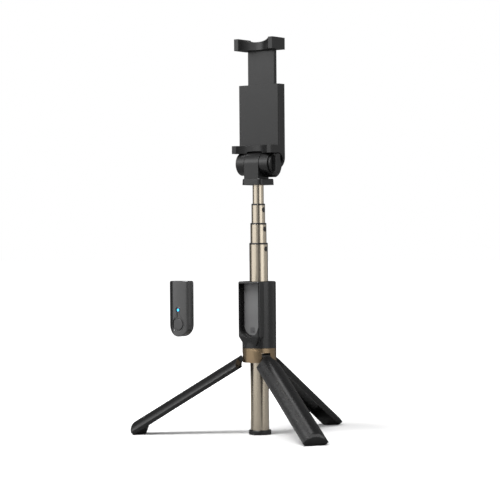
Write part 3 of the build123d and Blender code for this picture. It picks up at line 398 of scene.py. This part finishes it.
FINISHES = {
    "anodised_champagne": anodised("anodised_champagne", (0.63, 0.556, 0.445), roughness=0.23),
    "anodised_bronze": anodised("anodised_bronze", (0.34, 0.25, 0.155), roughness=0.26),
    "black_plastic": moulded("black_plastic", (0.005, 0.005, 0.0052), roughness=0.27),
    "clamp_plastic": moulded(
        "clamp_plastic", (0.006, 0.006, 0.0062), roughness=0.30,
        grain_scale=3600, grain_depth=0.15, specular=0.46,
    ),
    "dock_grey": moulded(
        "dock_grey", (0.115, 0.115, 0.116), roughness=0.40,
        grain_scale=5200, grain_depth=0.15, wear_and_highlight_lift=1.2,
    ),
    "catch_grey": moulded(
        "catch_grey", (0.06, 0.06, 0.061), roughness=0.40,
        grain_scale=5200, grain_depth=0.15, wear_and_highlight_lift=1.3,
    ),
    "remote_plastic": moulded(
        "remote_plastic", (0.006, 0.006, 0.0062), roughness=0.17,
        grain_scale=5200, grain_depth=0.1, specular=1.0, wear_and_highlight_lift=1.6, coat=0.4,
    ),
    "button_plastic": moulded(
        "button_plastic", (0.045, 0.045, 0.046), roughness=0.40,
        grain_scale=4600, grain_depth=0.25,
    ),
    "acetal": moulded(
        "acetal", (0.010, 0.010, 0.010), roughness=0.30,
        grain_scale=5200, grain_depth=0.15,
    ),
    "black_rubber": soft_rubber("black_rubber", (0.009, 0.009, 0.009)),
    "steel": machined("steel", (0.56, 0.56, 0.57), roughness=0.30),
    "led_blue": glowing("led_blue", (0.02, 0.42, 1.0), strength=2.2),
    "board_green": moulded(
        "board_green", (0.02, 0.14, 0.06), roughness=0.35,
        grain_scale=2600, grain_depth=0.2,
    ),
}
SLOT_OF = {part["node"]: part["material_slot"] for part in frame["record"]["subparts"]}


def finish_cad_nodes():
    """Give every CAD node the finish of its material slot."""
    for name, node in frame["nodes"].items():
        finish = FINISHES[SLOT_OF[name]]
        if not node.material_slots:
            node.data.materials.append(finish)
        for slot in node.material_slots:
            slot.material = finish


finish_cad_nodes()


# ------------------------------------------------------------------ fine surface pieces
def corners(node):
    """Lowest and highest corner of a CAD node at rest."""
    low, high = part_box(node)
    return Vector(low), Vector(high)


def middle(node):
    """Middle of a CAD node's box at rest."""
    low, high = corners(node)
    return (low + high) / 2


def add_piece(name, shape, slot):
    """Turn a bmesh into a smooth piece with its slot's finish."""
    shape.normal_update()
    bmesh.ops.recalc_face_normals(shape, faces=shape.faces)
    mesh = bpy.data.meshes.new(name)
    shape.to_mesh(mesh)
    shape.free()
    for face in mesh.polygons:
        face.use_smooth = True
    piece = bpy.data.objects.new(name, mesh)
    piece.data.materials.append(FINISHES[slot])
    bpy.context.collection.objects.link(piece)
    return piece


def circle(radius, steps):
    """Points round a circle, as pairs in its own plane."""
    turns = [2 * pi * k / steps for k in range(steps)]
    return [(radius * cos(turn), radius * sin(turn)) for turn in turns]


WIRE_SIDES = 10


def sweep(points, radius, closed=False):
    """Round wire of one radius along points, with its section carried without twist."""
    shape = bmesh.new()
    points = [Vector(point) for point in points]
    count = len(points)
    rings = []
    normal = None
    for i, point in enumerate(points):
        before = points[i - 1] if closed or i else points[i]
        after = points[(i + 1) % count] if closed or i < count - 1 else points[i]
        tangent = (after - before).normalized()
        if normal is None:
            normal = tangent.orthogonal().normalized()
        normal = (normal - tangent * normal.dot(tangent)).normalized()
        side = tangent.cross(normal)
        rings.append([
            shape.verts.new(point + normal * along + side * across)
            for along, across in circle(radius, WIRE_SIDES)
        ])
    pairs = list(zip(rings, rings[1:]))
    if closed:
        last, first = rings[-1], rings[0]
        shift = min(range(WIRE_SIDES), key=lambda k: (last[0].co - first[k].co).length)
        pairs.append((last, first[shift:] + first[:shift]))
    else:
        shape.faces.new(rings[0])
        shape.faces.new(rings[-1])
    for low, high in pairs:
        for k in range(WIRE_SIDES):
            beside = (k + 1) % WIRE_SIDES
            shape.faces.new((low[k], low[beside], high[beside], high[k]))
    return shape


# Compression springs between the slider's foot and the top of the clamp.
SPRING_TURNS = 9
SPRING_WIRE = 0.32 * MM     # radius of the wire
SPRING_STEPS = 20           # to each turn


def clamp_spring(node):
    """Steel coil with a closed turn at each end."""
    low, high = corners(node)
    centre = middle(node)
    radius = (high.x - low.x) / 2 - SPRING_WIRE
    bottom, top = low.z + SPRING_WIRE, high.z - SPRING_WIRE
    steps = SPRING_TURNS * SPRING_STEPS
    points = []
    for i in range(steps + 1):
        angle = 2 * pi * i / SPRING_STEPS
        share = min(max((i - SPRING_STEPS) / (steps - 2 * SPRING_STEPS), 0), 1)
        points.append((
            centre.x + radius * cos(angle),
            centre.y + radius * sin(angle),
            bottom + (top - bottom) * share,
        ))
    piece = add_piece(node + "_coil", sweep(points, SPRING_WIRE), "steel")
    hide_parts(node)
    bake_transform(piece)


# Ribbed rubber pads on the faces of the jaws. Each row runs along the pad at a share of its depth,
# lowered by a share of the ribs' depth, so that the long edges are rounded.
RIB_PITCH = 1.5 * MM
RIB_DEPTH = 0.35 * MM
RIB_STEPS = 8               # to each rib
PAD_ROWS = ((0.0, 0.8), (0.08, 0.25), (0.2, 0.0), (0.8, 0.0), (0.92, 0.25), (1.0, 0.8))


def ribbed_pad(node, body, facing):
    """Pad with rounded ribs on the side that meets the phone: facing +1 is up, -1 is down."""
    low, high = corners(node)
    back, face = (low.z, high.z) if facing > 0 else (high.z, low.z)
    steps = round((high.x - low.x) / RIB_PITCH) * RIB_STEPS
    shape = bmesh.new()
    ribbed, flat = [], []
    for i in range(steps + 1):
        x = low.x + (high.x - low.x) * i / steps
        valley = RIB_DEPTH * (0.5 + 0.5 * cos(2 * pi * i / RIB_STEPS)) ** 2
        line = []
        for share, round_off in PAD_ROWS:
            y = low.y + (high.y - low.y) * share
            drop = max(valley, round_off * RIB_DEPTH)
            line.append(shape.verts.new((x, y, face - facing * drop)))
        ribbed.append(line)
        flat.append([shape.verts.new((x, low.y, back)), shape.verts.new((x, high.y, back))])
    for i in range(steps):
        here, there = ribbed[i], ribbed[i + 1]
        for k in range(len(PAD_ROWS) - 1):
            shape.faces.new((here[k], there[k], there[k + 1], here[k + 1]))
        shape.faces.new((flat[i][0], flat[i + 1][0], there[0], here[0]))
        shape.faces.new((here[-1], there[-1], flat[i + 1][1], flat[i][1]))
        shape.faces.new((flat[i][1], flat[i + 1][1], flat[i + 1][0], flat[i][0]))
    for end in (0, steps):
        shape.faces.new((flat[end][0], *ribbed[end], flat[end][1]))
    piece = add_piece(node + "_ribbed", shape, SLOT_OF[node])
    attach(piece, body)
    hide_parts(node)


# Trim on the remote's front, which is crowned from side to side. A wire's depth is how far its
# middle lies below the crown.
CROWN_R = 22.0 * MM
CROWN_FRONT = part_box("remote_front")[0][1]      # the crown's furthest point forward
RIM_WIRE = 0.22 * MM
RIM_DEPTH = 0.12 * MM
RING_STEPS = 40
CURVE_STEPS = 6             # from each point of the rim's outline to the next

# Right half of the rim's pear-shaped outline, from its lowest point to its highest, in millimetres
# from the button's middle.
PEAR = (
    (0.0, -5.75), (1.9, -5.45), (3.7, -4.45), (5.2, -2.5), (5.75, 0.2), (5.1, 2.8), (3.7, 4.7),
    (2.3, 6.4), (1.65, 8.1), (1.75, 9.7), (2.25, 11.1), (1.75, 12.6), (0.0, 13.4),
)


def smooth_loop(through):
    """Closed Catmull-Rom curve through points in a plane."""
    count = len(through)
    points = []
    for i in range(count):
        a, b, c, d = (through[(i + k) % count] for k in (-1, 0, 1, 2))
        for step in range(CURVE_STEPS):
            t = step / CURVE_STEPS
            points.append(
                0.5 * (2 * b + (c - a) * t + (2 * a - 5 * b + 4 * c - d) * t ** 2
                       + (3 * b - a - 3 * c + d) * t ** 3)
            )
    return points


def on_crown(x, z, depth):
    """Point at a depth below the crowned front of the remote."""
    return (x, CROWN_FRONT + CROWN_R - (CROWN_R ** 2 - x ** 2) ** 0.5 + depth, z)


def remote_rim():
    """Pear-shaped rim round the button and the lamp."""
    height = middle("remote_button").z
    right = [Vector(point) * MM for point in PEAR]
    left = [Vector((-point.x, point.y)) for point in reversed(right[1:-1])]
    outline = [on_crown(point.x, height + point.y, RIM_DEPTH) for point in smooth_loop(right + left)]
    piece = add_piece("remote_rim", sweep(outline, RIM_WIRE, closed=True), "remote_plastic")
    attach(piece, "remote")


def remote_ring(name, node, body, slot, radius, wire, depth):
    """Ring on the front, round the middle of a node."""
    height = middle(node).z
    ring = [on_crown(x, height + z, depth) for x, z in circle(radius, RING_STEPS)]
    piece = add_piece(name, sweep(ring, wire, closed=True), slot)
    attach(piece, body)


# Bead turned on the bronze collar.
BEAD_WIRE = 0.2 * MM
BEAD_DEPTH = 0.14 * MM      # of its middle below the collar's side
BEAD_DROP = 1.9 * MM        # below the collar's top edge
BEAD_STEPS = 96


def collar_bead():
    """Turned bead running round the bronze collar, below its top edge."""
    high = corners("leg_collar")[1]
    ring = [(x, y, high.z - BEAD_DROP) for x, y in circle(high.x - BEAD_DEPTH, BEAD_STEPS)]
    piece = add_piece("collar_bead", sweep(ring, BEAD_WIRE, closed=True), "anodised_bronze")
    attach(piece, "grip")


clamp_spring("clamp_spring_left")
clamp_spring("clamp_spring_right")
ribbed_pad("lower_jaw_pad", "clamp", facing=1)
ribbed_pad("upper_jaw_pad", "jaw", facing=-1)
remote_rim()
# This ring is flush with the button's face, which stands a little proud of the crown.
remote_ring(
    "button_ring", "remote_button", "remote_key", "button_plastic",
    radius=2.6 * MM, wire=0.13 * MM, depth=0.03 * MM,
)
# This one lies on the floor of the recess round the lamp.
remote_ring(
    "lamp_ring", "remote_led", "remote", "remote_plastic",
    radius=1.25 * MM, wire=0.16 * MM, depth=0.42 * MM,
)
collar_bead()
